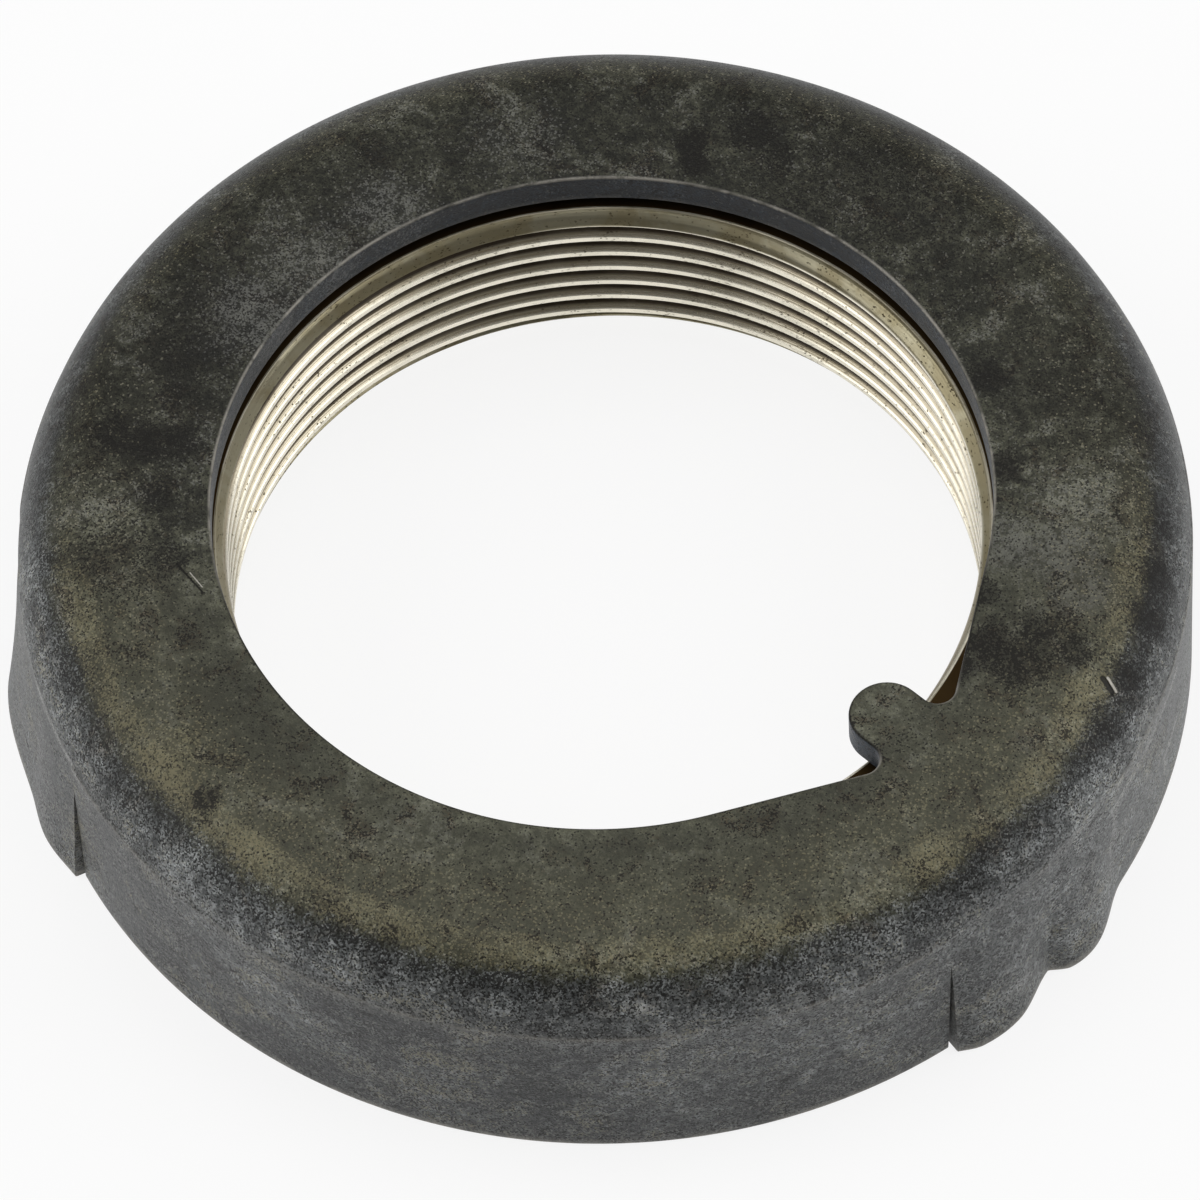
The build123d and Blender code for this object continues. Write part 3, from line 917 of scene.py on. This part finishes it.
def threaded_nut_tree(values):
    """Turns a section into a nut, cuts its helical thread and chamfers, and mills its wrench slots.

    The tree has an input for each of the values, with that value as its default."""
    tree = bpy.data.node_groups.new("Threaded nut", "GeometryNodeTree")
    tree.interface.new_socket(name="Section", in_out="INPUT", socket_type="NodeSocketGeometry")
    kinds = {float: "NodeSocketFloat", int: "NodeSocketInt", bpy.types.Material: "NodeSocketMaterial"}
    for name, value in values.items():
        socket = tree.interface.new_socket(name=name, in_out="INPUT", socket_type=kinds[type(value)])
        socket.default_value = value
    tree.interface.new_socket(name="Nut", in_out="OUTPUT", socket_type="NodeSocketGeometry")
    w = Wiring(tree)
    given = {socket.name: Signal(w, socket) for socket in w.node("NodeGroupInput").outputs}
    top, bottom, pitch = given["Top"], given["Bottom"], given["Pitch"]

    # The thread: a grid sheared along the helix, clamped to the faces and opened out at the chamfers
    past_corner, weld, sharpest = 1e-5, 0.002 * MM, radians(31)
    turns = w.math("CEIL", (top - bottom) / pitch) + 1.0
    rows = turns * given["Rows per turn"] + 1.0
    grid, turn, row, angle = round_grid(w, given["Columns"], rows, given["Thread start"])
    pitches = row * turns
    level = w.larger(w.smaller(bottom + (pitches - 1.0 + turn) * pitch, top), bottom)
    from_crest = w.math("ABSOLUTE", w.math("FRACT", pitches + past_corner) - 0.5)
    crest_half = given["Crest share"] / 2.0
    cut = w.ramp(from_crest, crest_half, crest_half + given["Flank share"], smooth=False)
    from_end = w.smaller(top - level, level - bottom)
    opened = w.ramp(from_end, 0.0, given["Chamfer length"], 1.0, 0.0, smooth=False)
    thread = wrap(w, grid, given["Crest radius"] + given["Depth"] * w.larger(cut, opened), angle, level)

    # The rest of the nut: the section sampled row by row
    points = w.out(
        "GeometryNodeAttributeDomainSize", {"Geometry": given["Section"]}, "Point Count", component="MESH",
    )
    grid, _, row, angle = round_grid(w, given["Columns"], points, given["Thread start"])
    sampled = w.out("GeometryNodeSampleIndex", {
        "Geometry": given["Section"], "Value": w.out("GeometryNodeInputPosition"),
        "Index": w.math("ROUND", row * (points - 1.0)),
    }, data_type="FLOAT_VECTOR")
    radius, _, height = w.parts("ShaderNodeSeparateXYZ", {"Vector": sampled})
    turned = wrap(w, grid, radius, angle, height)
    whole = w.node("GeometryNodeJoinGeometry")
    w.feed(whole.inputs[0], thread)
    w.feed(whole.inputs[0], turned)
    nut = w.out("GeometryNodeMergeByDistance", {"Geometry": Signal(w, whole.outputs[0]), "Distance": weld})
    nut = w.out("GeometryNodeFlipFaces", {"Mesh": nut})

    # The wrench slots: one cutter for each, standing round the axis
    middle = given["Slot inner radius"] + given["Slot length"] / 2.0
    ring = w.out("GeometryNodeMeshCircle", {"Vertices": given["Slot count"], "Radius": middle})
    block_size = w.vector(given["Slot length"], given["Slot width"], given["Slot depth"] * 2.0)
    block = w.out("GeometryNodeMeshCube", {"Size": block_size})
    step = w.math("DIVIDE", 2 * pi, given["Slot count"])
    facing = w.vector(0.0, 0.0, w.out("GeometryNodeInputIndex") * step)
    blocks = w.out("GeometryNodeInstanceOnPoints", {"Points": ring, "Instance": block, "Rotation": facing})
    blocks = w.out("GeometryNodeRealizeInstances", {"Geometry": blocks})
    blocks = w.out("GeometryNodeTransform", {"Geometry": blocks, "Translation": w.vector(0.0, 0.0, bottom)})
    nut = w.out("GeometryNodeMeshBoolean", {0: nut, 1: blocks}, operation="DIFFERENCE", solver="EXACT")

    sharp = w.out(
        "FunctionNodeCompare", {0: w.out("GeometryNodeInputMeshEdgeAngle"), 1: sharpest},
        data_type="FLOAT", operation="GREATER_THAN",
    )
    nut = w.out("GeometryNodeSetShadeSmooth", {"Geometry": nut, "Shade Smooth": True}, domain="FACE")
    nut = w.out(
        "GeometryNodeSetShadeSmooth", {"Geometry": nut, "Selection": sharp, "Shade Smooth": False}, domain="EDGE",
    )
    nut = w.out("GeometryNodeRealizeInstances", {"Geometry": nut})
    nut = w.out("GeometryNodeSetMaterial", {"Geometry": nut, "Material": given["Material"]})
    w.feed(w.node("NodeGroupOutput").inputs[0], nut)
    return tree


def placed(name, data):
    """A new object in the scene."""
    made = bpy.data.objects.new(name, data)
    bpy.context.scene.collection.objects.link(made)
    return made


def plain_mesh(obj, name):
    """The object's evaluated shape as a plain mesh object, which takes its place."""
    evaluated = obj.evaluated_get(bpy.context.evaluated_depsgraph_get())
    mesh = bpy.data.meshes.new_from_object(evaluated)
    mesh.name = name
    made = placed(name, mesh)
    bpy.data.objects.remove(obj)
    return made


class SPINDLENUT_OT_draw_shell(bpy.types.Operator):
    """Draws the shell, pierces its hole, slits its skirt and blackens it"""

    bl_idname = "spindle_nut.draw_shell"
    bl_label = "Draw the shell"

    def execute(self, context):
        sizes = context.scene.spindle_shell_sizes
        mesh = drawn_shell(sizes)
        mesh.materials.append(phosphate_material(context.scene.spindle_finishes, sizes))
        shell = placed("drawn_shell", mesh)
        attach(shell, "shell")
        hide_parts("keyed_shell")
        return {"FINISHED"}


class SPINDLENUT_OT_cut_nut(bpy.types.Operator):
    """Turns the nut, cuts its thread and mills its wrench slots"""

    bl_idname = "spindle_nut.cut_nut"
    bl_label = "Cut the threaded nut"

    def execute(self, context):
        sizes = context.scene.spindle_nut_sizes
        section = nut_section(sizes)
        mesh = bpy.data.meshes.new("nut_section")
        mesh.from_pydata([(r, 0.0, z) for r, z in section], [(i, i + 1) for i in range(len(section) - 1)], [])
        slot_inner = BORE_RADIUS + sizes.depth + sizes.slot_land
        values = {
            "Pitch": sizes.pitch,
            "Crest radius": BORE_RADIUS,
            "Depth": sizes.depth,
            "Crest share": sizes.crest_share,
            "Flank share": sizes.flank_share,
            "Thread start": sizes.thread_start,
            "Top": NUT_HIGH.z,
            "Bottom": NUT_LOW.z,
            "Chamfer length": BORE_CHAMFER,
            "Slot count": sizes.slot_count,
            "Slot inner radius": slot_inner,
            "Slot length": NUT_HIGH.x - slot_inner + 1 * MM,
            "Slot width": sizes.slot_width,
            "Slot depth": sizes.slot_depth,
            "Columns": sizes.columns,
            "Rows per turn": sizes.rows_per_turn,
            "Material": thread_material(context.scene.spindle_finishes, sizes),
        }
        blank = placed("nut_section", mesh)
        modifier = blank.modifiers.new("Threaded nut", "NODES")
        modifier.node_group = threaded_nut_tree(values)
        for item in modifier.node_group.interface.items_tree:
            if item.name in values:
                modifier[item.identifier] = values[item.name]
        nut = plain_mesh(blank, "cut_nut")
        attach(nut, "nut")
        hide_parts("threaded_nut")
        return {"FINISHED"}


class SPINDLENUT_OT_finish_ring(bpy.types.Operator):
    """Gives the snap ring its tempered steel"""

    bl_idname = "spindle_nut.finish_ring"
    bl_label = "Finish the snap ring"

    def execute(self, context):
        ring = frame["nodes"]["retaining_ring"]
        ring.data.materials.clear()
        ring.data.materials.append(spring_material(context.scene.spindle_finishes))
        return {"FINISHED"}


def floor_material(studio):
    """Plain pale floor, which looks nearly white and keeps the nut's shadow."""
    material, w, shader = new_material("pale_floor")
    shader.inputs["Base Color"].default_value = with_alpha(studio.floor_tone)
    shader.inputs["Roughness"].default_value = 0.9
    shader.inputs["Specular IOR Level"].default_value = 0.1
    white = w.out("ShaderNodeEmission", {"Color": (1.0, 1.0, 1.0, 1.0), "Strength": 1.0})
    ray = w.node("ShaderNodeLightPath").outputs
    seen = 0.0
    for kind in ("Is Camera Ray", "Is Glossy Ray", "Is Transmission Ray"):
        seen = w.larger(Signal(w, ray[kind]), seen)
    own = Signal(w, shader.outputs["BSDF"])
    mixed = w.out("ShaderNodeMixShader", {0: seen * studio.floor_white, 1: own, 2: white})
    w.feed(w.tree.nodes["Material Output"].inputs["Surface"], mixed)
    return material


def studio_world(studio):
    """A white room behind the nut and a dimmer one behind the camera, by the direction looked in."""
    world = bpy.data.worlds.new("white_studio")
    world.use_nodes = True
    world.node_tree.nodes.clear()
    w = Wiring(world.node_tree)
    direction = w.out("ShaderNodeTexCoord", key="Generated")
    ahead = w.between("DOT_PRODUCT", direction, direction_of(studio.azimuth, 0.0), "Value")
    level = w.ramp(ahead, -0.2, 0.45, studio.wall_level, studio.front_level)
    background = w.out("ShaderNodeBackground", {"Color": (1.0, 1.0, 1.0, 1.0), "Strength": level})
    w.node("ShaderNodeOutputWorld", {"Surface": background})
    return world


def direction_of(azimuth, elevation):
    """Unit vector towards a direction about the nut."""
    flat = cos(elevation)
    return Vector((cos(azimuth) * flat, sin(azimuth) * flat, sin(elevation)))


def softbox(name, watts, size, azimuth, elevation):
    """A square area light that faces the nut from a direction round it."""
    data = bpy.data.lights.new(name, "AREA")
    data.shape = "SQUARE"
    data.size = size
    data.energy = watts
    lamp = placed(name, data)
    toward = direction_of(azimuth, elevation)
    lamp.location = toward * SOFTBOX_DISTANCE
    lamp.rotation_mode = "QUATERNION"
    lamp.rotation_quaternion = toward.to_track_quat("Z", "Y")


def add_camera(studio):
    """The camera at the photograph's angle, with its small roll."""
    data = bpy.data.cameras.new("camera")
    data.sensor_width = 36.0
    data.lens = studio.lens
    data.clip_start = 0.05
    data.clip_end = 20.0
    camera = placed("camera", data)
    back = direction_of(studio.azimuth, studio.elevation)
    right = Vector((-sin(studio.azimuth), cos(studio.azimuth), 0.0))
    up = back.cross(right)
    middle = Vector((0.0, 0.0, SHELL_HIGH.z))
    camera.location = middle + back * studio.distance + right * studio.shift_right + up * studio.shift_up
    turned_right = cos(studio.roll) * right + sin(studio.roll) * up
    turned_up = -sin(studio.roll) * right + cos(studio.roll) * up
    camera.rotation_mode = "QUATERNION"
    camera.rotation_quaternion = Matrix((turned_right, turned_up, back)).transposed().to_quaternion()
    bpy.context.scene.camera = camera


class SPINDLENUT_OT_set_stage(bpy.types.Operator):
    """Lays the floor, hangs the softboxes and sets up the camera"""

    bl_idname = "spindle_nut.set_stage"
    bl_label = "Set the stage"

    def execute(self, context):
        studio = context.scene.spindle_studio
        mesh = bpy.data.meshes.new("floor")
        corners = ((-1, -1), (1, -1), (1, 1), (-1, 1))
        mesh.from_pydata([(x * FLOOR_REACH, y * FLOOR_REACH, CAD_LOW.z) for x, y in corners], [], [(0, 1, 2, 3)])
        mesh.materials.append(floor_material(studio))
        floor = placed("floor", mesh)
        context.scene.world = studio_world(studio)
        for name, watts, size, turn, elevation in (
            ("left_softbox", studio.side_light, 0.5, -90, 38),
            ("right_softbox", studio.side_light, 0.5, 90, 38),
            ("top_softbox", studio.top_light, 0.36, 180, 80),
        ):
            softbox(name, watts, size, studio.azimuth + radians(turn), radians(elevation))
        add_camera(studio)
        context.scene.view_settings.view_transform = "Standard"
        return {"FINISHED"}


class SPINDLENUT_PT_panel(bpy.types.Panel):
    """Sizes and steps of the spindle nut"""

    bl_idname = "SPINDLENUT_PT_panel"
    bl_label = "Spindle nut"
    bl_space_type = "VIEW_3D"
    bl_region_type = "UI"
    bl_category = "Spindle nut"

    def draw(self, context):
        scene = context.scene
        for heading, group, operator in (
            ("Shell", scene.spindle_shell_sizes, "spindle_nut.draw_shell"),
            ("Nut", scene.spindle_nut_sizes, "spindle_nut.cut_nut"),
            ("Finishes", scene.spindle_finishes, "spindle_nut.finish_ring"),
            ("Studio", scene.spindle_studio, "spindle_nut.set_stage"),
        ):
            box = self.layout.box()
            box.label(text=heading)
            for name in group.__annotations__:
                box.prop(group, name)
            box.operator(operator)


GROUPS = {
    "spindle_shell_sizes": ShellSizes,
    "spindle_nut_sizes": NutSizes,
    "spindle_finishes": Finishes,
    "spindle_studio": Studio,
}
CLASSES = (
    *GROUPS.values(),
    SPINDLENUT_OT_draw_shell,
    SPINDLENUT_OT_cut_nut,
    SPINDLENUT_OT_finish_ring,
    SPINDLENUT_OT_set_stage,
    SPINDLENUT_PT_panel,
)


def register():
    for cls in CLASSES:
        bpy.utils.register_class(cls)
    for name, group in GROUPS.items():
        setattr(bpy.types.Scene, name, bpy.props.PointerProperty(type=group))


def unregister():
    for name in GROUPS:
        delattr(bpy.types.Scene, name)
    for cls in reversed(CLASSES):
        bpy.utils.unregister_class(cls)


def main():
    register()
    bpy.ops.spindle_nut.draw_shell()
    bpy.ops.spindle_nut.cut_nut()
    bpy.ops.spindle_nut.finish_ring()
    bpy.ops.spindle_nut.set_stage()


if __name__ == "__main__":
    main()
